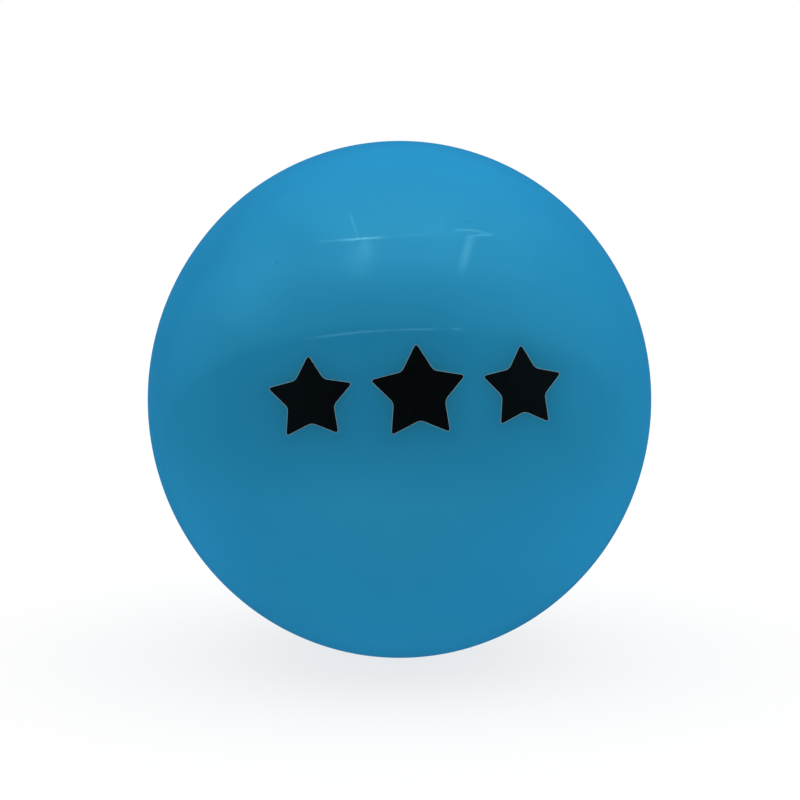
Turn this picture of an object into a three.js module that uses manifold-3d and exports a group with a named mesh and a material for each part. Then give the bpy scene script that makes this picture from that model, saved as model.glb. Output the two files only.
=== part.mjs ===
// A blown-up play ball of soft vinyl: a hollow wall, a valve seat fixed in its back and a push-in stopper.
// Millimetres, +Z up. The ball stands on z = 0, its printed front faces -Y and its valve faces +Y.
import * as THREE from "three";
import { mergeVertices } from "three/addons/utils/BufferGeometryUtils.js";
import Module from "manifold-3d";

// The ball's wall
const BALL_WIDTH = 218;
const BALL_HEIGHT = 223;
const WALL = 1.8;
const CONTACT_RADIUS = 13; // the flat that the ball's own weight presses into the soft wall

// Room between pieces that touch on the real ball
const FIT_GAP = 0.3;

// The stopper, and the bore that it closes
const BORE_RADIUS = 4.3; // at the mouth
const BORE_TAPER = 0.7; // how much the radius drops by the bore's inner end
const FACE_SINK = 0.15; // how far the valve's face lies below the ball's round
const HEAD_OVERHANG = 2.2; // the head's edge past the mouth of the bore
const HEAD_EDGE = 1.4; // the head's thickness at its edge
const HEAD_CHAMFER = 0.35;
const STEM_LENGTH = 12.5;
const STEM_WALL = 1.3; // round the hollow in the stem's inner end
const STEM_CHAMFER = 0.4;
const STEM_SOLID = 3.5; // the stem's solid length below the head
const RIB_COUNT = 3;
const RIB_HEIGHT = 0.4;
const RIB_LENGTH = 1.5;

// The valve seat
const NECK_WALL = 2.4; // outside the recess for the head
const LIP_OVERHANG = 3; // the outer lip's edge past the neck
const LIP_EDGE = 1; // the lip's thickness at its edge
const FLANGE_OVERHANG = 3; // the inner flange's edge past the neck
const FLANGE_THICKNESS = 1.5;
const TUBE_WALL = 2; // outside the mouth of the bore
const TUBE_LENGTH = 10; // past the inner flange
const NOTCH_RADIUS = 2; // a scoop for a fingernail, beside the head
const NOTCH_REACH = 1.7; // past the recess
const NOTCH_DROP = 0.6; // below the floor of the recess

// The thick ring of the wall round the valve
const RING_WIDTH = 8;
const RING_STEP = 3.2; // how far it stands in from the wall

// How finely round things are divided
const BALL_SIDES = 64;
const HOLLOW_SIDES = 48;
const VALVE_SIDES = 32;
const FACE_STEPS = 3;

// Finishes: glossy blue vinyl, a plainer blue for the seat and an off-white stopper
const SHELL_FINISH = { color: 0x2580b2, roughness: 0.15, metalness: 0 };
const SEAT_FINISH = { color: 0x1f6f9e, roughness: 0.35, metalness: 0 };
const STOPPER_FINISH = { color: 0xe9e7e0, roughness: 0.4, metalness: 0 };

// The ball's round: an upright ellipsoid cut off flat where it stands
const semiWidth = BALL_WIDTH / 2;
const contactCosine = Math.sqrt(1 - (CONTACT_RADIUS / semiWidth) ** 2);
const semiHeight = BALL_HEIGHT / (1 + contactCosine);
const centreHeight = semiHeight * contactCosine;

// The valve's sizes across its axis
const headRadius = BORE_RADIUS + HEAD_OVERHANG;
const recessRadius = headRadius + FIT_GAP;
const neckRadius = recessRadius + NECK_WALL;
const lipRadius = neckRadius + LIP_OVERHANG;
const flangeRadius = neckRadius + FLANGE_OVERHANG;
const tubeRadius = BORE_RADIUS + TUBE_WALL;
const holeRadius = neckRadius + FIT_GAP;
const rebateRadius = lipRadius + FIT_GAP;
const ringRadius = holeRadius + RING_WIDTH;

// The valve's sizes along its axis, as depths below the ball's rearmost point
const faceDepth = (radius) => FACE_SINK + semiWidth - Math.sqrt(semiWidth ** 2 - radius ** 2);
const headUnderside = faceDepth(headRadius) + HEAD_EDGE;
const recessFloor = headUnderside + FIT_GAP;
const stemEnd = headUnderside + STEM_LENGTH;
const lipUnderside = faceDepth(lipRadius) + LIP_EDGE;
const rebateFloor = lipUnderside + FIT_GAP;
const ringEnd = WALL + RING_STEP;
const flangeTop = ringEnd + FIT_GAP;
const flangeEnd = flangeTop + FLANGE_THICKNESS;
const tubeEnd = flangeEnd + TUBE_LENGTH;
const outside = -WALL; // clear of the ball's round, where cuts start
const boreRadiusAt = (depth) =>
  BORE_RADIUS - (BORE_TAPER * (depth - recessFloor)) / (tubeEnd - recessFloor);
const stemRadiusAt = (depth) => boreRadiusAt(depth) - FIT_GAP - RIB_HEIGHT;

const wasm = await Module();
wasm.setup();

function solid(geometry) {
  const bare = geometry.clone();
  bare.deleteAttribute("normal");
  bare.deleteAttribute("uv");
  const merged = mergeVertices(bare);
  const vertProperties = new Float32Array(merged.attributes.position.array);
  const triVerts = new Uint32Array(merged.index.array);
  return new wasm.Manifold(new wasm.Mesh({ numProp: 3, vertProperties, triVerts }));
}

function geometryOf(body) {
  const { vertProperties, triVerts } = body.getMesh();
  const geometry = new THREE.BufferGeometry();
  geometry.setAttribute("position", new THREE.BufferAttribute(vertProperties, 3));
  geometry.setIndex(new THREE.BufferAttribute(triVerts, 1));
  geometry.computeVertexNormals();
  return geometry;
}

function namedMesh(name, geometry, finish) {
  const mesh = new THREE.Mesh(geometry, new THREE.MeshStandardMaterial(finish));
  mesh.name = name;
  return mesh;
}

// A round about the upright axis with a flat floor, from the floor's middle up to its top
function flatFootedRound(halfWidth, halfHeight, floor, sides) {
  const lowest = -Math.asin((centreHeight - floor) / halfHeight);
  const quarter = Math.round(sides / 4);
  const angles = [];
  for (let step = 0; step < quarter; step++) angles.push(lowest * (1 - step / quarter));
  for (let step = 0; step < quarter; step++) angles.push((Math.PI / 2) * (step / quarter));
  const profile = angles.map(
    (angle) =>
      new THREE.Vector2(halfWidth * Math.cos(angle), centreHeight + halfHeight * Math.sin(angle)),
  );
  const bottom = new THREE.Vector2(0, floor);
  const top = new THREE.Vector2(0, centreHeight + halfHeight);
  return new THREE.LatheGeometry([bottom, ...profile, top], sides).rotateX(Math.PI / 2);
}

// A turned shape on the valve's axis, from points of [radius, depth]
function turned(points) {
  const profile = points.map(([radius, depth]) => new THREE.Vector2(radius, semiWidth - depth));
  return new THREE.LatheGeometry(profile, VALVE_SIDES).translate(0, 0, centreHeight);
}

// The valve's face between two radii, following the ball's round
function facePoints(from, to) {
  const points = [];
  for (let step = 0; step <= FACE_STEPS; step++) {
    const radius = from + ((to - from) * step) / FACE_STEPS;
    points.push([radius, faceDepth(radius)]);
  }
  return points;
}

function ballShell() {
  const whole = solid(flatFootedRound(semiWidth, semiHeight, 0, BALL_SIDES));
  const hollow = solid(flatFootedRound(semiWidth - WALL, semiHeight - WALL, WALL, HOLLOW_SIDES));
  const ring = solid(
    turned([
      [0, ringEnd],
      [ringRadius, ringEnd],
      [ringRadius, outside],
      [0, outside],
    ]),
  );
  const valveHole = solid(
    turned([
      [0, tubeEnd],
      [holeRadius, tubeEnd],
      [holeRadius, rebateFloor],
      [rebateRadius, rebateFloor],
      [rebateRadius, outside],
      [0, outside],
    ]),
  );
  return geometryOf(whole.subtract(hollow.subtract(ring)).subtract(valveHole));
}

function valveSeat() {
  const body = solid(
    turned([
      [boreRadiusAt(tubeEnd), tubeEnd],
      [tubeRadius, tubeEnd],
      [tubeRadius, flangeEnd],
      [flangeRadius, flangeEnd],
      [flangeRadius, flangeTop],
      [neckRadius, flangeTop],
      [neckRadius, lipUnderside],
      [lipRadius, lipUnderside],
      ...facePoints(lipRadius, recessRadius),
      [recessRadius, recessFloor],
      [BORE_RADIUS, recessFloor],
      [boreRadiusAt(tubeEnd), tubeEnd],
    ]),
  );
  const notchDepth = recessFloor + NOTCH_DROP;
  const notch = new THREE.CylinderGeometry(NOTCH_RADIUS, NOTCH_RADIUS, 2 * notchDepth, VALVE_SIDES);
  notch.translate(0, semiWidth, centreHeight + recessRadius + NOTCH_REACH - NOTCH_RADIUS);
  return geometryOf(body.subtract(solid(notch)));
}

// One sealing rib, as points of [radius, depth] from its inner end outwards
function ribPoints(innerEnd) {
  const outerEnd = innerEnd - RIB_LENGTH;
  const crest = innerEnd - RIB_LENGTH / 2;
  return [
    [stemRadiusAt(innerEnd), innerEnd],
    [stemRadiusAt(crest) + RIB_HEIGHT, crest],
    [stemRadiusAt(outerEnd), outerEnd],
  ];
}

function valveStopper() {
  const hollowRadius = stemRadiusAt(stemEnd) - STEM_WALL;
  const hollowTop = headUnderside + STEM_SOLID;
  const ribPitch = STEM_LENGTH / (RIB_COUNT + 1);
  const ribs = [];
  for (let rib = 1; rib <= RIB_COUNT; rib++)
    ribs.push(...ribPoints(stemEnd - rib * ribPitch + RIB_LENGTH / 2));
  return turned([
    [0, hollowTop],
    [hollowRadius, hollowTop],
    [hollowRadius, stemEnd],
    [stemRadiusAt(stemEnd) - STEM_CHAMFER, stemEnd],
    [stemRadiusAt(stemEnd - STEM_CHAMFER), stemEnd - STEM_CHAMFER],
    ...ribs,
    [stemRadiusAt(headUnderside), headUnderside],
    [headRadius, headUnderside],
    [headRadius, faceDepth(headRadius) + HEAD_CHAMFER],
    ...facePoints(headRadius - HEAD_CHAMFER, 0),
  ]);
}

const ball = new THREE.Group();
ball.add(namedMesh("ball_shell", ballShell(), SHELL_FINISH));
ball.add(namedMesh("valve_seat", valveSeat(), SEAT_FINISH));
ball.add(namedMesh("valve_stopper", valveStopper(), STOPPER_FINISH));

export default ball;
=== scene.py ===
# A blown-up play ball of glossy vinyl, with a push-in valve stopper and a print of three stars.
# Metres, +Z up, in the CAD frame. The printed front faces -Y and the valve faces +Y.
import math

import bmesh
import bpy
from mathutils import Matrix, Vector, noise


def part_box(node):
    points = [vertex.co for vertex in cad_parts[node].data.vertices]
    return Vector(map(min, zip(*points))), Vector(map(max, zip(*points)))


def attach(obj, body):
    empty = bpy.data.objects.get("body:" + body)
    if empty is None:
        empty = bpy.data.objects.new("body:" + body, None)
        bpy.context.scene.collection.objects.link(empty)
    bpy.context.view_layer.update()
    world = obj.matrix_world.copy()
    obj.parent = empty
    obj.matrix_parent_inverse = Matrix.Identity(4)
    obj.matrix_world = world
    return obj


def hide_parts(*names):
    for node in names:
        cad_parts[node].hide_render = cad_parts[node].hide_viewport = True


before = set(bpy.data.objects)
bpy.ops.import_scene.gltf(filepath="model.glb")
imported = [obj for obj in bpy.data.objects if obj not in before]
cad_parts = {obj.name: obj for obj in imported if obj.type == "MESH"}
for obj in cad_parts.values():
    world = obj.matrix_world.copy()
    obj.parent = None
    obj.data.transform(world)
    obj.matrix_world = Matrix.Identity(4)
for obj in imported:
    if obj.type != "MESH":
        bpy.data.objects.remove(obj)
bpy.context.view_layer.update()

MM = 0.001

# The photograph's frame and the ball's outline in it, in pixels
IMAGE_SIDE = 800
OUTLINE_CENTRE = (399.48, 399.75)
OUTLINE_HALF_WIDTH = 251.83

# The camera
LENS_MM = 85
SENSOR_MM = 36
CLIP_START = 10 * MM
VIEW_ELEVATION = math.radians(8)
FOCAL_PIXELS = IMAGE_SIDE * LENS_MM / SENSOR_MM

# The ball's wall
WALL = 1.8 * MM
CONTACT_RADIUS = 13 * MM  # of the flat that the ball stands on
FOOT_SOFTNESS = 0.3 * MM  # of the bend between the round and that flat
BALL_SIDES = 288
OUTER_RINGS = 144
INNER_RINGS = 60

# The relief of the wall's outside: slow waves and the mould's parting line
SKIN_SINK = 0.18 * MM  # how far the mean lies inside the CAD round, so that the relief stays inside too
WAVE_HEIGHT = 0.05 * MM
WAVE_RATE = 3.2  # noise cells to half the ball's width
PARTING_HEIGHT = 0.12 * MM
PARTING_WIDTH = 0.45 * MM
PARTING_RINGS = (-1.2, -0.8, -0.5, -0.25, 0, 0.25, 0.5, 0.8, 1.2)  # in millimetres across the line
PARTING_ROOM = 0.01  # radians beside those rings that hold no other ring
CALM_RADIUS = 18 * MM  # round the valve's axis, where there is no relief
CALM_FADE = 14 * MM

# The valve: room between pieces, the bore and the stopper
FIT_GAP = 0.3 * MM
BORE_RADIUS = 4.3 * MM  # at the mouth
BORE_TAPER = 0.7 * MM  # how much the radius drops by the bore's inner end
FACE_SINK = 0.15 * MM  # how far the valve's face lies below the ball's round
HEAD_OVERHANG = 2.2 * MM  # the head's edge past the mouth of the bore
HEAD_EDGE = 1.4 * MM  # the head's thickness at its edge
FACE_SHARES = (0.8, 0.6, 0.4, 0.25)  # of the head's radius, where its face has a ring of points
STEM_LENGTH = 12.5 * MM
STEM_WALL = 1.3 * MM  # round the hollow in the stem's inner end
STEM_SOLID = 3.5 * MM  # the stem's solid length below the head
RIB_COUNT = 3
RIB_HEIGHT = 0.4 * MM
RIB_LENGTH = 1.5 * MM
GATE_RADIUS = 0.8 * MM  # of the gate mark in the middle of the head
GATE_DIP = 0.12 * MM

# The valve's seat and the thick ring of the wall round it
NECK_WALL = 2.4 * MM  # outside the recess for the head
LIP_OVERHANG = 3 * MM  # the outer lip's edge past the neck
LIP_EDGE = 1 * MM  # the lip's thickness at its edge
FLANGE_OVERHANG = 3 * MM  # the inner flange's edge past the neck
FLANGE_THICKNESS = 1.5 * MM
TUBE_WALL = 2 * MM  # outside the mouth of the bore
TUBE_LENGTH = 10 * MM  # past the inner flange
RECESS_STEPS = 8  # across the floor of the recess
RECESS_BAND = 0.3 * MM  # above that floor, where points sink with the notch
RECESS_TOLERANCE = 0.01 * MM  # below it, where they still belong to it
NOTCH_RADIUS = 2 * MM  # of a scoop for a fingernail, beside the head
NOTCH_REACH = 1.7 * MM  # past the recess
NOTCH_DROP = 0.6 * MM  # below the floor of the recess
BEAD_RADIUS = 10.7 * MM  # of a raised bead on the lip
BEAD_WIDTH = 0.9 * MM
BEAD_HEIGHT = 0.12 * MM
RING_WIDTH = 8 * MM
RING_STEP = 3.2 * MM  # how far the ring stands in from the wall
VALVE_SIDES = 160

# How edges are rounded and shaded
EDGE_ROUND = 0.4 * MM
SMALL_ROUND = 0.2 * MM
ROUND_STEPS = 4
ROUND_LIMIT = 0.45  # the most of a side that the rounding of one corner takes
SHARP_ANGLE = math.radians(50)  # edges that turn by more than this look sharp

# The print: a row of three stars
PRINT_CENTRE = (419, 393)  # a pixel of the photograph
PRINT_TILT = math.radians(2.5)
STAR_PITCH = 41 * MM
MIDDLE_STAR_RADIUS = 19 * MM
SIDE_STAR_RADIUS = 16.8 * MM
STAR_POINTS = 5
STAR_HALF = math.pi / STAR_POINTS  # the turn from a tip to the next valley
STAR_VALLEY = 0.54  # of the radius, where two points of a star meet
STAR_TIP_ROUND = 1.6 * MM
STAR_EDGE = 0.2 * MM  # how far the pale edge shows past the ink
STAR_RINGS = 16
STAR_SIDE_STEPS = 8
EDGE_FILM = 0.03 * MM  # how far the pale edge stands off the skin
INK_FILM = 0.055 * MM  # how far the ink does
FILM_ROOT = 0.03 * MM  # how far both go into it

# Finishes: two tones in patches, a range of roughness and a fine grain, with rates per metre
BALL_FINISH = {
    "tones": ((0.0163, 0.232, 0.426), (0.0151, 0.218, 0.403)),
    "patch_rate": 22,
    "roughness": (0.03, 0.05),
    "rough_rate": 60,
    "grain_rate": 700,
    "grain_height": 0.02 * MM,
    "grain_strength": 0.25,
}
SEAT_FINISH = {
    "tones": ((0.0137, 0.159, 0.342), (0.011, 0.135, 0.3)),
    "patch_rate": 160,
    "roughness": (0.28, 0.42),
    "rough_rate": 500,
    "grain_rate": 2500,
    "grain_height": 0.03 * MM,
    "grain_strength": 0.4,
}
STOPPER_FINISH = {
    "tones": ((0.814, 0.799, 0.745), (0.74, 0.72, 0.65)),
    "patch_rate": 220,
    "roughness": (0.34, 0.5),
    "rough_rate": 600,
    "grain_rate": 2200,
    "grain_height": 0.03 * MM,
    "grain_strength": 0.4,
}
INK_FINISH = {
    "patch_rate": 400,
    "roughness": (0.09, 0.16),
    "rough_rate": 300,
    "grain_rate": 1500,
    "grain_height": 0.02 * MM,
    "grain_strength": 0.3,
}
INK_BLACKS = ((0.0016, 0.0018, 0.0018), (0.0026, 0.0028, 0.0028))
EDGE_PALES = ((0.22, 0.36, 0.42), (0.16, 0.31, 0.39))
INK_GLOSS = 0.25
PATCH_DETAIL = 3
GRAIN_DETAIL = 2
NOISE_LOW = 0.3  # noise lies mostly between these two
NOISE_HIGH = 0.7

# The Mix node's sockets for the share and the two values, as numbers and as colours
NUMBER_SOCKETS = (0, 2, 3)
COLOUR_SOCKETS = (0, 6, 7)
COLOUR_RESULT = 2

# The vinyl's shade beside the print, where the ink takes up light that spreads inside the wall
SHADED_BLUE = (0.0157, 0.165, 0.27)  # where the ink is all round
SHADE_REACH = 4 * MM  # over which the shade drops to about a third

# Dark specks in the ball's vinyl, where its surface meets the middles of cells
SPECK_BLUE = (0.008, 0.08, 0.15)
SPECK_RATE = 60  # cells per metre
SPECK_STRENGTH = 0.8
SPECK_CORE = 0.015  # the speck's dark middle, in cells
SPECK_EDGE = 0.03  # where it has faded out

# The floor, which glows where it is seen and lights the ball from below
FLOOR_SIZE = 8
FLOOR_DROP = 0.1 * MM  # below the ball's foot
FLOOR_ALBEDO = (0.2, 0.2, 0.2, 1)
FLOOR_GLOW = 0.775
UNDERLIGHT = 0.6  # past FAR_RADIUS from the ball's foot
UNDERLIGHT_NEAR = 0.86  # within NEAR_RADIUS of it
NEAR_RADIUS = 0.12
FAR_RADIUS = 0.4

# The soft light, by degrees from the front, and what is added from above and from the right
LIGHT_BY_ANGLE = ((0, 0.17), (50, 0.17), (90, 1.48), (130, 0.48), (180, 0.26))
LIGHT_TOP = 0.65
LIGHT_RIGHT = 0.15
WHITE = (1, 1, 1, 1)

# The tent as the gloss sees it: a dome on hoops about an axis that leans back. Its brightness goes by the
# degrees from that axis in its middle and at its ends, and by the degrees above the horizon elsewhere
TENT_RADIUS = 0.75
TENT_DROP = 0.05 * MM  # how far its floor lies below the ball's foot
TENT_SIDES = 96
TENT_RINGS = 48
TENT_LEAN = math.radians(28)
TENT_MIDDLE = (
    (0, 1.5), (5, 1.8), (22, 3.0), (36, 3.4), (43, 3.5), (45, 3.0), (54, 2.9), (65, 1.6),
    (75, 0.95), (82, 0.5), (84.5, 0.05), (180, 0.1),
)
TENT_ENDS = ((0, 1), (43, 1.1), (54, 1.5), (70, 1.3), (79, 0.9), (82, 0.5), (84.5, 0.15), (180, 0.1))
TENT_FLOOR = ((-90, 0.2), (-57, 0.3), (-47, 0.6), (-37, 1.1), (-27, 1.3), (-14, 0.4), (-6, 0), (90, 0))
TENT_BACK = (
    (-90, 0.3), (-44, 0.3), (-20, 0.46), (0, 0.45), (27, 0.63), (39, 0.93), (67, 1.7), (90, 2.4),
)
FLOOR_AT_ENDS = 0.65  # how much of its floor's brightness is left at its ends

# Where its ends, its back and its foot begin and are full, by parts of the heading from the ball
ENDS_FROM = 0.3
ENDS_FULL = 0.75
BACK_FROM = -0.25
BACK_FULL = 0.6
FOOT_FROM = 0.55
FOOT_FULL = 0.85
FOOT_SPREAD = 0.45  # how much of the way to its ends counts as the way down

# The tent's colours: its cloth, the bluer cloth of its back and foot, and the light through its seams
TENT_COLOUR = (0.1, 0.64, 1)
TENT_BLUE = (0.05, 0.47, 1)
SEAM_COLOUR = (0.36, 0.92, 1)

# Light through the tent's seams and folds, by where the ball mirrors it in the photograph, in pixels:
# the points of each line, its half width and its brightness
TENT_LINES = {
    "upper seam": (((312, 242), (355, 239), (394, 236.5)), 1.5, 2.1),
    "upper seam, bright middle": (((340, 240.5), (361, 238.5), (382, 237)), 1.5, 3.7),
    "upper seam, middle": (((395, 237), (437, 232)), 1.4, 1.0),
    "upper seam, right end": (((453, 231), (470, 230), (492, 234)), 1.5, 2.4),
    "upper seam, right fork": (((466, 238), (480, 235), (497, 235)), 1.5, 2.6),
    "fold over the left seam": (((350, 212), (354, 225), (359, 239)), 1.3, 2.0),
    "fold over the middle": (((442, 214), (442, 232)), 1.4, 0.8),
    "glow under the left seam": (((364, 238), (362, 254), (354, 280)), 20, 0.8),
    "glow at the left seam": (((362, 239), (366, 248), (369, 259)), 9, 0.8),
    "glow under the right seam": (((473, 235), (467, 250), (461, 276)), 6.5, 2.0),
    "lower seam, left": (((302, 339), (350, 333), (388, 330.3)), 1.5, 2.4),
    "lower seam, right": (((376, 331), (412, 329.4), (446, 329)), 1.4, 1.7),
    "lower seam, end": (((450, 328.6), (464, 329.4)), 1.4, 2.2),
}
# Brighter patches of the tent's cloth, given in the same way
TENT_PATCHES = {
    "left end": (((230, 330), (254, 284), (288, 244)), 46, 1.0),
    "right end": (((490, 226), (520, 250), (544, 290)), 40, 0.5),
}
LINE_STEPS = 24
LINE_COLUMNS = (-1, -0.5, 0, 0.5, 1)  # places across a line, in half widths
LINE_INSET = 0.99  # of the way to the tent's cloth
LINE_FADE = 0.7  # below 1, a line keeps its brightness nearer to its ends

# Sizes of the ball, from the CAD frame
ball_low, ball_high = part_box("ball_shell")
half_width = (ball_high.x - ball_low.x) / 2
contact_cosine = math.sqrt(1 - (CONTACT_RADIUS / half_width) ** 2)
half_height = (ball_high.z - ball_low.z) / (1 + contact_cosine)
centre = Vector((0, 0, half_height * contact_cosine))
axes = Vector((half_width, half_width, half_height))
inner_axes = axes - Vector((WALL, WALL, WALL))

# Sizes of the valve across its axis
head_radius = BORE_RADIUS + HEAD_OVERHANG
recess_radius = head_radius + FIT_GAP
neck_radius = recess_radius + NECK_WALL
lip_radius = neck_radius + LIP_OVERHANG
flange_radius = neck_radius + FLANGE_OVERHANG
tube_radius = BORE_RADIUS + TUBE_WALL
hole_radius = neck_radius + FIT_GAP
rebate_radius = lip_radius + FIT_GAP
ring_radius = hole_radius + RING_WIDTH
to_notch = recess_radius + NOTCH_REACH - NOTCH_RADIUS  # to the middle of the notch


def face_depth(radius):
    """How far the valve's face lies below the ball's rearmost point."""
    return FACE_SINK + half_width - math.sqrt(half_width**2 - radius**2)


# Sizes of the valve along its axis, as depths below the ball's rearmost point
head_underside = face_depth(head_radius) + HEAD_EDGE
recess_floor = head_underside + FIT_GAP
stem_end = head_underside + STEM_LENGTH
lip_underside = face_depth(lip_radius) + LIP_EDGE
rebate_floor = lip_underside + FIT_GAP
ring_end = WALL + RING_STEP
flange_top = ring_end + FIT_GAP
flange_end = flange_top + FLANGE_THICKNESS
tube_end = flange_end + TUBE_LENGTH


def bore_radius_at(depth):
    return BORE_RADIUS - BORE_TAPER * (depth - recess_floor) / (tube_end - recess_floor)


def stem_radius_at(depth):
    return bore_radius_at(depth) - FIT_GAP - RIB_HEIGHT


def smooth_step(low, high, value):
    """A share that rises smoothly from 0 at low to 1 at high."""
    share = min(max((value - low) / (high - low), 0), 1)
    return share * share * (3 - 2 * share)


def scaled(vector, factors):
    return Vector((vector.x * factors.x, vector.y * factors.y, vector.z * factors.z))


def shrunk(vector, factors):
    return Vector((vector.x / factors.x, vector.y / factors.y, vector.z / factors.z))


# Meshes
def placed(name, mesh, material):
    """A new object in the scene, from a mesh and its material."""
    mesh.materials.append(material)
    thing = bpy.data.objects.new(name, mesh)
    bpy.context.scene.collection.objects.link(thing)
    return thing


def shade_smooth(mesh):
    mesh.polygons.foreach_set("use_smooth", [True] * len(mesh.polygons))


def closed_piece(name, points, faces, material):
    """A smooth-shaded object from points and faces, with its faces turned outwards."""
    mesh = bpy.data.meshes.new(name)
    mesh.from_pydata(points, [], faces)
    work = bmesh.new()
    work.from_mesh(mesh)
    bmesh.ops.recalc_face_normals(work, faces=work.faces)
    work.to_mesh(mesh)
    work.free()
    shade_smooth(mesh)
    mesh.set_sharp_from_angle(angle=SHARP_ANGLE)
    return placed(name, mesh, material)


def ring_faces(ring_count, sides, looped):
    """Four-sided faces between neighbouring rings of points, and back to the first ring if looped."""
    faces = []
    for ring in range(ring_count if looped else ring_count - 1):
        here = ring * sides
        there = (ring + 1) % ring_count * sides
        for side in range(sides):
            after = (side + 1) % sides
            faces.append((here + side, here + after, there + after, there + side))
    return faces


def joined_rings(rings, first=None, last=None):
    """Points and faces of a closed skin through rings, which ends in two points or runs in a loop."""
    sides = len(rings[0])
    points = [point for ring in rings for point in ring]
    faces = ring_faces(len(rings), sides, looped=first is None)
    for tip, start in ((first, 0), (last, len(points) - sides)):
        if tip is not None:
            points.append(tip)
            tip_index = len(points) - 1
            faces += [(start + side, start + (side + 1) % sides, tip_index) for side in range(sides)]
    return points, faces


def rounded(corners):
    """A looped profile from corners of (radius, depth, rounding), each of them rounded off."""
    profile = []
    for index, (radius, depth, rounding) in enumerate(corners):
        corner = Vector((radius, depth))
        before = Vector(corners[index - 1][:2]) - corner
        after = Vector(corners[(index + 1) % len(corners)][:2]) - corner
        reach = min(rounding, before.length * ROUND_LIMIT, after.length * ROUND_LIMIT)
        if reach == 0:
            profile.append(corner)
            continue
        start = corner + before.normalized() * reach
        end = corner + after.normalized() * reach
        for step in range(ROUND_STEPS + 1):
            share = step / ROUND_STEPS
            bend = 2 * share * (1 - share)
            profile.append(start * (1 - share) ** 2 + corner * bend + end * share**2)
    return profile


def turns(sides):
    """The angles of even steps once round."""
    return [2 * math.pi * side / sides for side in range(sides)]


def valve_point(radius, depth, turn):
    """A point at a distance from the valve's axis, a depth below the ball's back and a turn."""
    return Vector((radius * math.cos(turn), half_width - depth, centre.z + radius * math.sin(turn)))


def valve_ring(radius, depth, sides):
    return [valve_point(radius, depth, turn) for turn in turns(sides)]


# The ball's skin
def skin_relief(direction):
    """How far the moulded skin stands off the true round."""
    wave = WAVE_HEIGHT * noise.noise(direction * WAVE_RATE)
    parting = PARTING_HEIGHT * math.exp(-((half_width * direction.y / PARTING_WIDTH) ** 2))
    relief = wave + parting - SKIN_SINK
    if direction.y <= 0:
        return relief
    from_valve = half_width * math.hypot(direction.x, direction.z)
    return relief * smooth_step(CALM_RADIUS, CALM_RADIUS + CALM_FADE, from_valve)


def pressed_flat(height, floor):
    """A height that bends softly on to a floor."""
    above = height - floor
    return floor + (above + math.hypot(above, FOOT_SOFTNESS)) / 2


def skin_point(direction, lift=0):
    """The point of the ball's outside in a direction of the unit ball, lifted off along its normal."""
    normal = shrunk(direction, axes).normalized()
    point = centre + scaled(direction, axes) + normal * (skin_relief(direction) + lift)
    point.z = pressed_flat(point.z, 0)
    return point


def inner_point(direction):
    """The point of the ball's inside in a direction of the unit ball."""
    point = centre + scaled(direction, inner_axes)
    point.z = pressed_flat(point.z, WALL)
    return point


def ring_directions(angle, last_angle, valve_ratio):
    """Directions of the unit ball on a ring about the valve's axis, by the angle from the front.
    The rings pass from the ball's own section at its middle to true circles at the valve."""
    narrowing = 1 + (valve_ratio - 1) * smooth_step(math.pi / 2, last_angle, angle)
    directions = []
    for turn in turns(BALL_SIDES):
        across = math.sin(angle) * math.cos(turn)
        up = math.sin(angle) * narrowing * math.sin(turn)
        back = math.sqrt(max(1 - across**2 - up**2, 0))
        directions.append(Vector((across, math.copysign(back, angle - math.pi / 2), up)))
    return directions


def outer_angles(last_angle):
    """The angles of the outside's rings, which are closer together along the parting line."""
    parting = [math.pi / 2 + offset * MM / half_width for offset in PARTING_RINGS]
    low = parting[0] - PARTING_ROOM
    high = parting[-1] + PARTING_ROOM
    even = [last_angle * step / OUTER_RINGS for step in range(1, OUTER_RINGS)]
    clear = [angle for angle in even if not low < angle < high]
    return sorted(clear + parting) + [last_angle]


def outer_rings():
    """The outside, from the front to the edge of the valve's hole."""
    last_angle = math.pi - math.asin((rebate_radius + EDGE_ROUND) / half_width)
    rings = []
    for angle in outer_angles(last_angle):
        directions = ring_directions(angle, last_angle, axes.x / axes.z)
        rings.append([skin_point(direction) for direction in directions])
    return rings


def rim_rings(edge):
    """The rounded edge of the valve's hole, from the outside's last ring."""
    rings = []
    for step in range(1, ROUND_STEPS + 1):
        tip = math.pi / 2 * step / ROUND_STEPS
        radius = rebate_radius + EDGE_ROUND * (1 - math.sin(tip))
        drop = EDGE_ROUND * (1 - math.cos(tip))
        sides = zip(edge, turns(BALL_SIDES))
        rings.append([valve_point(radius, half_width - point.y + drop, turn) for point, turn in sides])
    return rings


def hole_rings():
    """The valve's stepped hole and the end of the thick ring round it."""
    corners = (
        (rebate_radius, rebate_floor),
        (hole_radius, rebate_floor),
        (hole_radius, ring_end),
        (ring_radius, ring_end),
    )
    return [valve_ring(radius, depth, BALL_SIDES) for radius, depth in corners]


def inner_rings():
    """The inside, from the thick ring back to the front."""
    last_angle = math.pi - math.asin(ring_radius / inner_axes.x)
    rings = []
    for step in range(INNER_RINGS, 0, -1):
        angle = last_angle * step / INNER_RINGS
        directions = ring_directions(angle, last_angle, inner_axes.x / inner_axes.z)
        rings.append([inner_point(direction) for direction in directions])
    return rings


def make_skin(material):
    outer = outer_rings()
    rings = outer + rim_rings(outer[-1]) + hole_rings() + inner_rings()
    front = Vector((0, -1, 0))
    points, faces = joined_rings(rings, first=skin_point(front), last=inner_point(front))
    skin = closed_piece("ball_skin", points, faces, material)
    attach(skin, "ball")
    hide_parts("ball_shell")


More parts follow.
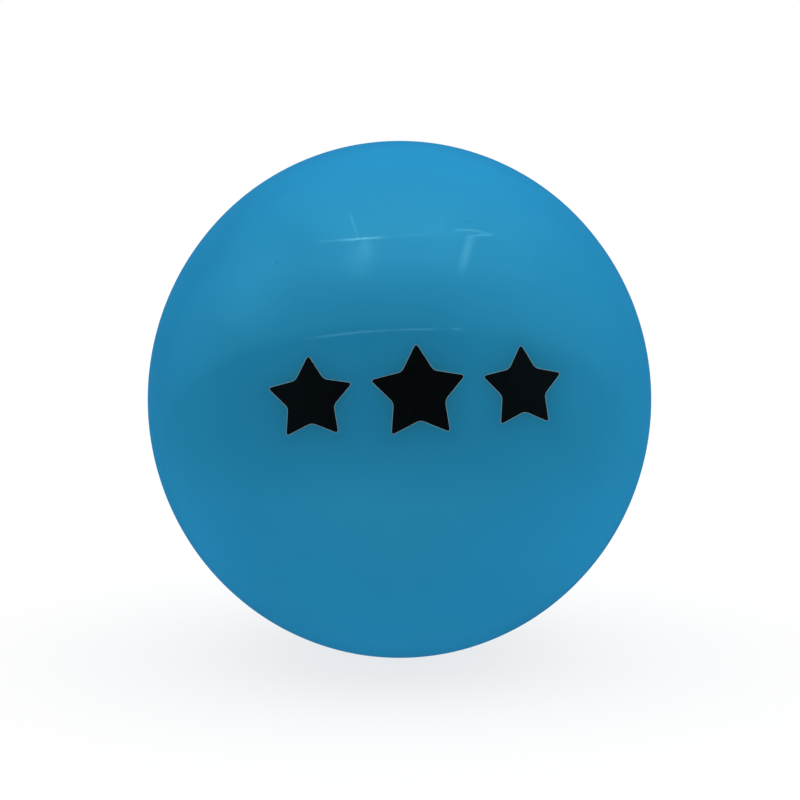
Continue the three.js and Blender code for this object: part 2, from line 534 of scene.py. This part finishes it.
# The valve
def notch_room(turn):
    """How far the fingernail notch, straight above the axis, reaches past the recess at a turn."""
    aside = to_notch * math.cos(turn)
    if math.sin(turn) <= 0 or abs(aside) >= NOTCH_RADIUS:
        return 0
    edge = to_notch * math.sin(turn) + math.sqrt(NOTCH_RADIUS**2 - aside**2)
    return max(edge - recess_radius, 0)


def notch_dip(radius, turn):
    """How much deeper the recess is inside the notch."""
    apart = math.hypot(radius * math.cos(turn), radius * math.sin(turn) - to_notch)
    return NOTCH_DROP * smooth_step(0, EDGE_ROUND, NOTCH_RADIUS - apart)


def seat_point(radius, depth, turn):
    """A point of the seat's profile at a turn, moved to make the notch."""
    if depth > recess_floor + RECESS_TOLERANCE or radius < BORE_RADIUS + SMALL_ROUND:
        return valve_point(radius, depth, turn)
    if radius > recess_radius:
        share = 1 - smooth_step(recess_radius + EDGE_ROUND, BEAD_RADIUS - BEAD_WIDTH, radius)
    else:
        share = smooth_step(head_radius - EDGE_ROUND, recess_radius - SMALL_ROUND, radius)
    wide = radius + share * notch_room(turn)
    if depth > recess_floor - RECESS_BAND:
        depth += notch_dip(wide, turn)
    return valve_point(wide, depth, turn)


def seat_profile():
    """The seat's section, from the bore's inner end round its outside to the bore's mouth."""
    bead_low = BEAD_RADIUS - BEAD_WIDTH / 2
    bead_high = BEAD_RADIUS + BEAD_WIDTH / 2
    floor_width = recess_radius - BORE_RADIUS
    floor_steps = range(RECESS_STEPS - 1, 0, -1)
    floor_radii = [BORE_RADIUS + floor_width * step / RECESS_STEPS for step in floor_steps]
    return rounded(
        [
            (bore_radius_at(tube_end), tube_end, EDGE_ROUND),
            (tube_radius, tube_end, EDGE_ROUND),
            (tube_radius, flange_end, EDGE_ROUND),
            (flange_radius, flange_end, EDGE_ROUND),
            (flange_radius, flange_top, EDGE_ROUND),
            (neck_radius, flange_top, 0),
            (neck_radius, lip_underside, 0),
            (lip_radius, lip_underside, SMALL_ROUND),
            (lip_radius, face_depth(lip_radius), EDGE_ROUND),
            (bead_high + SMALL_ROUND, face_depth(bead_high), SMALL_ROUND),
            (bead_high, face_depth(bead_high) - BEAD_HEIGHT, SMALL_ROUND),
            (bead_low, face_depth(bead_low) - BEAD_HEIGHT, SMALL_ROUND),
            (bead_low - SMALL_ROUND, face_depth(bead_low), SMALL_ROUND),
            (neck_radius, face_depth(neck_radius), 0),
            (recess_radius, face_depth(recess_radius), EDGE_ROUND),
            (recess_radius, recess_floor, SMALL_ROUND),
            *[(radius, recess_floor, 0) for radius in floor_radii],
            (BORE_RADIUS, recess_floor, SMALL_ROUND),
        ]
    )


def make_seat(material):
    rings = []
    for radius, depth in seat_profile():
        rings.append([seat_point(radius, depth, turn) for turn in turns(VALVE_SIDES)])
    points, faces = joined_rings(rings)
    seat = closed_piece("valve_collar", points, faces, material)
    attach(seat, "ball")
    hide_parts("valve_seat")


def rib_corners(inner_end):
    """One sealing rib of the stopper, from its inner end outwards."""
    crest = inner_end - RIB_LENGTH / 2
    outer_end = inner_end - RIB_LENGTH
    return [
        (stem_radius_at(inner_end), inner_end, SMALL_ROUND),
        (stem_radius_at(crest) + RIB_HEIGHT, crest, EDGE_ROUND),
        (stem_radius_at(outer_end), outer_end, SMALL_ROUND),
    ]


def stopper_profile():
    """The stopper's section, from the top of its hollow round its outside to the middle of its face."""
    hollow_radius = stem_radius_at(stem_end) - STEM_WALL
    hollow_top = head_underside + STEM_SOLID
    rib_pitch = STEM_LENGTH / (RIB_COUNT + 1)
    ribs = []
    for rib in range(1, RIB_COUNT + 1):
        ribs += rib_corners(stem_end - rib * rib_pitch + RIB_LENGTH / 2)
    face_radii = [head_radius * share for share in FACE_SHARES]
    return rounded(
        [
            (SMALL_ROUND, hollow_top, 0),
            (hollow_radius, hollow_top, EDGE_ROUND),
            (hollow_radius, stem_end, SMALL_ROUND),
            (stem_radius_at(stem_end), stem_end, EDGE_ROUND),
            *ribs,
            (stem_radius_at(head_underside), head_underside, SMALL_ROUND),
            (head_radius, head_underside, EDGE_ROUND),
            (head_radius, face_depth(head_radius), EDGE_ROUND),
            *[(radius, face_depth(radius), 0) for radius in face_radii],
            (GATE_RADIUS + SMALL_ROUND, face_depth(GATE_RADIUS), SMALL_ROUND),
            (GATE_RADIUS, face_depth(GATE_RADIUS) + GATE_DIP, SMALL_ROUND),
            (SMALL_ROUND, face_depth(0) + GATE_DIP, 0),
        ]
    )


def make_stopper(material):
    profile = stopper_profile()
    rings = [valve_ring(radius, depth, VALVE_SIDES) for radius, depth in profile]
    first = valve_point(0, profile[0].y, 0)
    last = valve_point(0, profile[-1].y, 0)
    points, faces = joined_rings(rings, first, last)
    stopper = closed_piece("valve_plug", points, faces, material)
    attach(stopper, "stopper")
    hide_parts("valve_stopper")


# The camera and what its pixels meet
def make_camera():
    """The camera, as far off and aimed so that the ball fills its outline in the photograph."""
    distance = (half_width - SKIN_SINK) * math.hypot(1, FOCAL_PIXELS / OUTLINE_HALF_WIDTH)
    back = Vector((0, -math.cos(VIEW_ELEVATION), math.sin(VIEW_ELEVATION)))
    up = Vector((0, math.sin(VIEW_ELEVATION), math.cos(VIEW_ELEVATION)))
    across = IMAGE_SIDE / 2 - OUTLINE_CENTRE[0]
    below = OUTLINE_CENTRE[1] - IMAGE_SIDE / 2
    aim = centre + (Vector((across, 0, 0)) + up * below) * (distance / FOCAL_PIXELS)
    camera_data = bpy.data.cameras.new("camera")
    camera_data.lens = LENS_MM
    camera_data.sensor_width = SENSOR_MM
    camera_data.clip_start = CLIP_START
    camera = bpy.data.objects.new("camera", camera_data)
    camera.location = centre + back * distance
    camera.rotation_euler = (aim - camera.location).to_track_quat("-Z", "Y").to_euler()
    bpy.context.scene.collection.objects.link(camera)
    bpy.context.scene.camera = camera
    bpy.context.view_layer.update()
    return camera


def pixel_ray(camera, pixel):
    """The heading of the camera's ray through a pixel of the photograph."""
    across = (pixel[0] - IMAGE_SIDE / 2) / FOCAL_PIXELS
    up = (IMAGE_SIDE / 2 - pixel[1]) / FOCAL_PIXELS
    return (camera.matrix_world.to_3x3() @ Vector((across, up, -1))).normalized()


def met_direction(start, ray):
    """The direction of the unit ball where a ray first meets the ball."""
    from_centre = shrunk(start - centre, axes)
    heading = shrunk(ray, axes)
    along = from_centre.dot(heading)
    inside = along**2 - heading.length_squared * (from_centre.length_squared - 1)
    reach = (-along - math.sqrt(inside)) / heading.length_squared
    return (from_centre + heading * reach).normalized()


def mirrored_point(camera, pixel):
    """The point of the tent that a pixel of the ball mirrors."""
    ray = pixel_ray(camera, pixel)
    direction = met_direction(camera.location, ray)
    normal = shrunk(direction, axes).normalized()
    bounce = ray.reflect(normal)
    start = centre + scaled(direction, axes)
    along = start.dot(bounce)
    reach = -along + math.sqrt(along**2 - start.length_squared + TENT_RADIUS**2)
    return start + bounce * reach


# The print
def divided(outline):
    """The same closed outline with its long sides cut into steps."""
    points = []
    for index, point in enumerate(outline):
        after = outline[(index + 1) % len(outline)]
        steps = STAR_SIDE_STEPS if (after - point).length > STAR_TIP_ROUND else 1
        points += [point.lerp(after, step / steps) for step in range(steps)]
    return points


def to_star_side(radius):
    """How far the lines along a star's sides pass from its middle."""
    valley = radius * STAR_VALLEY
    side = math.hypot(radius - valley * math.cos(STAR_HALF), valley * math.sin(STAR_HALF))
    return radius * valley * math.sin(STAR_HALF) / side


def star_outline(radius, grow):
    """The outline of a star with rounded tips, grown outwards by an even margin."""
    valley = radius * STAR_VALLEY
    to_side = to_star_side(radius)
    growth = (to_side + grow) / to_side
    corners = []
    for index in range(2 * STAR_POINTS):
        at_valley = index % 2 == 1
        reach = valley if at_valley else radius
        sine = to_side / reach
        blunting = 2 * grow * (1 / sine - 1) / math.sqrt(1 - sine**2)
        rounding = STAR_TIP_ROUND - blunting if at_valley else STAR_TIP_ROUND + blunting
        angle = math.pi / 2 + index * STAR_HALF
        corners.append((reach * growth * math.cos(angle), reach * growth * math.sin(angle), rounding))
    return divided(rounded(corners))


def print_plane(camera):
    """The middle of the print on the ball, the print's right and up there, and the ball's normal."""
    middle = met_direction(camera.location, pixel_ray(camera, PRINT_CENTRE))
    normal = shrunk(middle, axes).normalized()
    level = Vector((0, 0, 1)).cross(normal).normalized()
    upright = normal.cross(level)
    right = level * math.cos(PRINT_TILT) + upright * math.sin(PRINT_TILT)
    up = upright * math.cos(PRINT_TILT) - level * math.sin(PRINT_TILT)
    return centre + scaled(middle, axes), right, up, normal


def print_direction(plane, across, rise):
    """The direction of the unit ball under a point of the print, along the normal at its middle."""
    middle, right, up, normal = plane
    start = middle + right * across + up * rise + normal * half_width
    return met_direction(start, -normal)


def make_film(plane, name, place, outline, height, material):
    """One closed film of ink on the skin, inside an outline at a place along the row."""
    rings = []
    for lift in (height, -FILM_ROOT):
        layer = []
        for step in range(1, STAR_RINGS + 1):
            share = step / STAR_RINGS
            spots = [(place + point.x * share, point.y * share) for point in outline]
            layer.append([skin_point(print_direction(plane, *spot), lift) for spot in spots])
        rings += layer if lift > 0 else layer[::-1]
    middle = print_direction(plane, place, 0)
    points, faces = joined_rings(rings, skin_point(middle, height), skin_point(middle, -FILM_ROOT))
    film = closed_piece(name, points, faces, material)
    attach(film, "ball")


def make_print(plane, ink, edge):
    """The row of stars, each an ink film on a slightly larger pale one."""
    stars = (
        (-STAR_PITCH, SIDE_STAR_RADIUS),
        (0, MIDDLE_STAR_RADIUS),
        (STAR_PITCH, SIDE_STAR_RADIUS),
    )
    for number, (place, radius) in enumerate(stars, 1):
        wide = star_outline(radius, STAR_EDGE)
        make_film(plane, f"star_edge_{number}", place, wide, EDGE_FILM, edge)
        make_film(plane, f"star_{number}", place, star_outline(radius, 0), INK_FILM, ink)


# Nodes
def added(tree, kind, inputs=None, **settings):
    """A new node with its settings made and its inputs set, or joined to another node's output."""
    node = tree.nodes.new(kind)
    for setting, value in settings.items():
        setattr(node, setting, value)
    for socket, value in (inputs or {}).items():
        if isinstance(value, bpy.types.NodeSocket):
            tree.links.new(value, node.inputs[socket])
        else:
            node.inputs[socket].default_value = value
    return node


def cleared_tree(owner):
    """The node tree of a material or a world, emptied."""
    owner.use_nodes = True
    owner.node_tree.nodes.clear()
    return owner.node_tree


def object_place(tree):
    """The place in the object's own metres."""
    return added(tree, "ShaderNodeTexCoord").outputs["Object"]


def noise_at(tree, rate, detail=PATCH_DETAIL):
    """Noise over the object's own metres."""
    inputs = {"Vector": object_place(tree), "Scale": rate, "Detail": detail}
    return added(tree, "ShaderNodeTexNoise", inputs).outputs["Fac"]


def ranged(tree, value, low, high, start=NOISE_LOW, end=NOISE_HIGH):
    """A number that goes from low to high as a value goes from start to end."""
    inputs = {"Value": value, "From Min": start, "From Max": end, "To Min": low, "To Max": high}
    return added(tree, "ShaderNodeMapRange", inputs).outputs["Result"]


def calculated(tree, operation, *values):
    """A number worked out from numbers."""
    return added(tree, "ShaderNodeMath", dict(enumerate(values)), operation=operation).outputs[0]


def vector_calculated(tree, operation, *values):
    """The outputs of a vector operation: Vector, and Value where it gives a number."""
    return added(tree, "ShaderNodeVectorMath", dict(enumerate(values)), operation=operation).outputs


def mixed(tree, share, first, second):
    """A number between two numbers."""
    inputs = dict(zip(NUMBER_SOCKETS, (share, first, second)))
    return added(tree, "ShaderNodeMix", inputs, data_type="FLOAT").outputs[0]


def opaque(colour):
    """A colour's three parts with full alpha; another node's output as it is."""
    return colour if isinstance(colour, bpy.types.NodeSocket) else (*colour, 1)


def blended(tree, share, first, second):
    """A colour between two colours."""
    inputs = dict(zip(COLOUR_SOCKETS, (share, opaque(first), opaque(second))))
    return added(tree, "ShaderNodeMix", inputs, data_type="RGBA").outputs[COLOUR_RESULT]


def angle_ramp(tree, angle, stops):
    """Brightness by an angle in radians, from stops in degrees."""
    first, last = stops[0][0], stops[-1][0]
    share = ranged(tree, angle, 0, 1, math.radians(first), math.radians(last))
    ramp = added(tree, "ShaderNodeFloatCurve", {"Value": share})
    ramp.mapping.clip_max_y = max(value for degrees, value in stops)
    curve = ramp.mapping.curves[0]
    curve.points[0].location = (0, stops[0][1])
    curve.points[1].location = (1, stops[-1][1])
    for degrees, value in stops[1:-1]:
        curve.points.new((degrees - first) / (last - first), value)
    for point in curve.points:
        point.handle_type = "VECTOR"
    ramp.mapping.update()
    return ramp.outputs["Value"]


# Materials
def shader_of(material):
    return material.node_tree.nodes["Principled BSDF"]


def finished(name, tones, patch_rate, roughness, rough_rate, grain_rate, grain_height, grain_strength):
    """A material from a finish: its tone and its roughness vary, and it has a fine grain."""
    material = bpy.data.materials.new(name)
    material.use_nodes = True
    tree = material.node_tree
    sockets = shader_of(material).inputs
    patches = ranged(tree, noise_at(tree, patch_rate), 0, 1)
    tree.links.new(blended(tree, patches, *tones), sockets["Base Color"])
    tree.links.new(ranged(tree, noise_at(tree, rough_rate), *roughness), sockets["Roughness"])
    height = noise_at(tree, grain_rate, GRAIN_DETAIL)
    inputs = {"Height": height, "Distance": grain_height, "Strength": grain_strength}
    tree.links.new(added(tree, "ShaderNodeBump", inputs).outputs["Normal"], sockets["Normal"])
    return material


def star_distance(tree, across, rise, radius):
    """How far a point of the print's plane is from a star's bulk, by its offsets from the star's middle:
    the mean of how far it lies past the nearest side and past the circle through the valleys."""
    to_side = to_star_side(radius)
    squares = calculated(tree, "MULTIPLY_ADD", across, across, calculated(tree, "MULTIPLY", rise, rise))
    reach = calculated(tree, "SQRT", squares)
    from_tip = calculated(tree, "PINGPONG", calculated(tree, "ARCTAN2", across, rise), STAR_HALF)
    slant = calculated(tree, "ADD", from_tip, math.asin(to_side / radius))
    past_side = calculated(tree, "MULTIPLY_ADD", reach, calculated(tree, "SINE", slant), -to_side)
    past_valleys = calculated(tree, "SUBTRACT", reach, radius * STAR_VALLEY)
    return calculated(tree, "DIVIDE", calculated(tree, "ADD", past_side, past_valleys), 2)


def print_shade(tree, plane):
    """How much the print shades the vinyl: less and less away from it, and little off the stars' tips."""
    middle, *axes_of_plane = plane
    offset = vector_calculated(tree, "SUBTRACT", object_place(tree), middle)["Vector"]
    parts = [vector_calculated(tree, "DOT_PRODUCT", offset, axis)["Value"] for axis in axes_of_plane]
    across, rise, height = parts
    aside = calculated(tree, "ABSOLUTE", across)
    beside = calculated(tree, "SUBTRACT", aside, STAR_PITCH)
    to_middle_star = star_distance(tree, aside, rise, MIDDLE_STAR_RADIUS)
    to_side_star = star_distance(tree, beside, rise, SIDE_STAR_RADIUS)
    nearest = calculated(tree, "MINIMUM", to_middle_star, to_side_star)
    fading = calculated(tree, "MINIMUM", calculated(tree, "DIVIDE", nearest, -SHADE_REACH), 0)
    in_front = calculated(tree, "GREATER_THAN", height, -half_width)
    return calculated(tree, "MULTIPLY", calculated(tree, "EXPONENT", fading), in_front)


def ball_vinyl(plane):
    """Glossy blue vinyl: faint cloudiness, a shade beside the print and a few dark specks."""
    material = finished("ball_vinyl", **BALL_FINISH)
    tree = material.node_tree
    base = shader_of(material).inputs["Base Color"]
    cloudy = base.links[0].from_socket
    shaded = blended(tree, print_shade(tree, plane), cloudy, SHADED_BLUE)
    cells = added(tree, "ShaderNodeTexVoronoi", {"Vector": object_place(tree), "Scale": SPECK_RATE})
    specks = ranged(tree, cells.outputs["Distance"], SPECK_STRENGTH, 0, SPECK_CORE, SPECK_EDGE)
    tree.links.new(blended(tree, specks, shaded, SPECK_BLUE), base)
    return material


def seat_vinyl():
    """The seat's plainer blue vinyl, with a fine moulded grain."""
    return finished("seat_vinyl", **SEAT_FINISH)


def stopper_plastic():
    """The stopper's off-white plastic, a little yellowed in patches and finely grained."""
    return finished("stopper_plastic", **STOPPER_FINISH)


def printed_ink(name, tones):
    """Printed ink: slightly uneven in tone, less smooth than the vinyl under it."""
    material = finished(name, tones, **INK_FINISH)
    shader_of(material).inputs["Specular IOR Level"].default_value = INK_GLOSS
    return material


# The studio
def seen_rays(tree):
    """1 for rays that show the background: straight, mirrored or through glass."""
    path = added(tree, "ShaderNodeLightPath").outputs
    first = calculated(tree, "MAXIMUM", path["Is Camera Ray"], path["Is Glossy Ray"])
    return calculated(tree, "MAXIMUM", first, path["Is Transmission Ray"])


def floor_paper():
    """Pale paper that glows evenly where it is seen, and lights the ball from below."""
    material = bpy.data.materials.new("floor_paper")
    tree = cleared_tree(material)
    paper = added(tree, "ShaderNodeBsdfDiffuse", {"Color": FLOOR_ALBEDO})
    distance = vector_calculated(tree, "LENGTH", object_place(tree))["Value"]
    underlight = ranged(tree, distance, UNDERLIGHT_NEAR, UNDERLIGHT, NEAR_RADIUS, FAR_RADIUS)
    strength = mixed(tree, seen_rays(tree), underlight, FLOOR_GLOW)
    glow = added(tree, "ShaderNodeEmission", {"Strength": strength})
    both = added(tree, "ShaderNodeAddShader", {0: paper.outputs[0], 1: glow.outputs[0]})
    added(tree, "ShaderNodeOutputMaterial", {"Surface": both.outputs[0]})
    return material


def make_floor():
    half = FLOOR_SIZE / 2
    corners = ((-half, -half), (half, -half), (half, half), (-half, half))
    mesh = bpy.data.meshes.new("floor")
    mesh.from_pydata([(x, y, -FLOOR_DROP) for x, y in corners], [], [(0, 1, 2, 3)])
    floor = placed("floor", mesh, floor_paper())


def make_world():
    """Soft light, strongest from beside and above, and a white background where it is seen."""
    world = bpy.data.worlds.new("studio")
    bpy.context.scene.world = world
    tree = cleared_tree(world)
    heading = added(tree, "ShaderNodeTexCoord").outputs["Generated"]
    parts = added(tree, "ShaderNodeSeparateXYZ", {"Vector": heading}).outputs
    from_front = calculated(tree, "ARCCOSINE", calculated(tree, "MULTIPLY", parts["Y"], -1))
    above = ranged(tree, parts["Z"], 0, LIGHT_TOP, 0, 1)
    even = calculated(tree, "ADD", angle_ramp(tree, from_front, LIGHT_BY_ANGLE), above)
    soft = calculated(tree, "MULTIPLY_ADD", parts["X"], LIGHT_RIGHT, even)
    light = added(tree, "ShaderNodeBackground", {"Color": WHITE, "Strength": soft})
    backdrop = added(tree, "ShaderNodeBackground", {"Color": WHITE, "Strength": 1})
    inputs = {0: seen_rays(tree), 1: light.outputs[0], 2: backdrop.outputs[0]}
    both = added(tree, "ShaderNodeMixShader", inputs)
    added(tree, "ShaderNodeOutputWorld", {"Surface": both.outputs[0]})


def only_mirrored(thing):
    """The thing shows in gloss alone: it lights nothing and hides nothing."""
    thing.visible_camera = False
    thing.visible_diffuse = False
    thing.visible_transmission = False
    thing.visible_volume_scatter = False
    thing.visible_shadow = False


def tent_dome():
    """A half-round dome about the ball, with a flat floor."""
    mesh = bpy.data.meshes.new("tent")
    work = bmesh.new()
    bmesh.ops.create_uvsphere(work, u_segments=TENT_SIDES, v_segments=TENT_RINGS, radius=TENT_RADIUS)
    for vertex in work.verts:
        vertex.co.z = max(vertex.co.z, -TENT_DROP)
    work.to_mesh(mesh)
    work.free()
    shade_smooth(mesh)
    return mesh


def tent_cloth():
    """Glowing cloth, brightest overhead, dark towards the camera and bluer at its back and foot."""
    material = bpy.data.materials.new("tent_cloth")
    tree = cleared_tree(material)
    from_ball = vector_calculated(tree, "SUBTRACT", object_place(tree), centre)["Vector"]
    heading = vector_calculated(tree, "NORMALIZE", from_ball)["Vector"]
    parts = added(tree, "ShaderNodeSeparateXYZ", {"Vector": heading}).outputs
    axis = (0, math.sin(TENT_LEAN), math.cos(TENT_LEAN))
    hoop = calculated(tree, "ARCCOSINE", vector_calculated(tree, "DOT_PRODUCT", heading, axis)["Value"])
    rise = calculated(tree, "ARCSINE", parts["Z"])
    aside = calculated(tree, "ABSOLUTE", parts["X"])
    down = calculated(tree, "MULTIPLY", parts["Z"], -1)
    below = calculated(tree, "MULTIPLY_ADD", aside, FOOT_SPREAD, down)
    end_share = ranged(tree, aside, 0, 1, ENDS_FROM, ENDS_FULL)
    back_share = ranged(tree, parts["Y"], 0, 1, BACK_FROM, BACK_FULL)
    foot_share = ranged(tree, below, 0, 1, FOOT_FROM, FOOT_FULL)
    middle = angle_ramp(tree, hoop, TENT_MIDDLE)
    ends = angle_ramp(tree, hoop, TENT_ENDS)
    floor_share = mixed(tree, end_share, 1, FLOOR_AT_ENDS)
    floor = calculated(tree, "MULTIPLY", angle_ramp(tree, rise, TENT_FLOOR), floor_share)
    front = calculated(tree, "ADD", mixed(tree, end_share, middle, ends), floor)
    strength = mixed(tree, back_share, front, angle_ramp(tree, rise, TENT_BACK))
    blue_share = calculated(tree, "MAXIMUM", back_share, foot_share)
    colour = blended(tree, blue_share, TENT_COLOUR, TENT_BLUE)
    glow = added(tree, "ShaderNodeEmission", {"Color": colour, "Strength": strength})
    added(tree, "ShaderNodeOutputMaterial", {"Surface": glow.outputs[0]})
    return material


def make_tent():
    """The photographer's light tent, which the gloss mirrors."""
    only_mirrored(placed("tent", tent_dome(), tent_cloth()))


def line_samples(points):
    """Places on a smooth curve through two or three pixels, with the way sideways and the share."""
    start, end = Vector(points[0]), Vector(points[-1])
    middle = Vector(points[1]) if len(points) == 3 else (start + end) / 2
    bend = middle * 2 - (start + end) / 2
    samples = []
    for step in range(LINE_STEPS + 1):
        share = step / LINE_STEPS
        place = start * (1 - share) ** 2 + bend * 2 * share * (1 - share) + end * share**2
        along = (bend - start) * (1 - share) + (end - bend) * share
        aside = Vector((-along.y, along.x)).normalized()
        samples.append((place, aside, share))
    return samples


def band_mesh(camera, name, lines):
    """Bands on the tent along lines of pixels, with a glow that fades towards their edges and ends."""
    points, faces, glow = [], [], []
    columns = len(LINE_COLUMNS)
    for line, half, brightness in lines.values():
        start = len(points)
        for pixel, aside, share in line_samples(line):
            for column in LINE_COLUMNS:
                points.append(mirrored_point(camera, pixel + aside * half * column) * LINE_INSET)
                glow.append(brightness * (1 - abs(column)) * math.sin(math.pi * share) ** LINE_FADE)
        for row in range(LINE_STEPS):
            for column in range(columns - 1):
                here = start + row * columns + column
                faces.append((here, here + 1, here + columns + 1, here + columns))
    mesh = bpy.data.meshes.new(name)
    mesh.from_pydata(points, [], faces)
    mesh.attributes.new("glow", "FLOAT", "POINT").data.foreach_set("value", glow)
    return mesh


def band_light(name, colour):
    """Light of one colour by the bands' own glow, added to what lies behind them."""
    material = bpy.data.materials.new(name)
    tree = cleared_tree(material)
    strength = added(tree, "ShaderNodeAttribute", attribute_name="glow").outputs["Fac"]
    shine = added(tree, "ShaderNodeEmission", {"Color": opaque(colour), "Strength": strength})
    clear = added(tree, "ShaderNodeBsdfTransparent")
    both = added(tree, "ShaderNodeAddShader", {0: shine.outputs[0], 1: clear.outputs[0]})
    added(tree, "ShaderNodeOutputMaterial", {"Surface": both.outputs[0]})
    return material


def make_bands(camera, name, lines, colour):
    only_mirrored(placed(name, band_mesh(camera, name, lines), band_light(name, colour)))


bpy.context.scene.view_settings.view_transform = "Standard"
camera = make_camera()
print_place = print_plane(camera)
make_skin(ball_vinyl(print_place))
make_seat(seat_vinyl())
make_stopper(stopper_plastic())
make_print(print_place, printed_ink("print_black", INK_BLACKS), printed_ink("print_pale", EDGE_PALES))
make_floor()
make_world()
make_tent()
make_bands(camera, "tent_lines", TENT_LINES, SEAM_COLOUR)
make_bands(camera, "tent_patches", TENT_PATCHES, TENT_COLOUR)
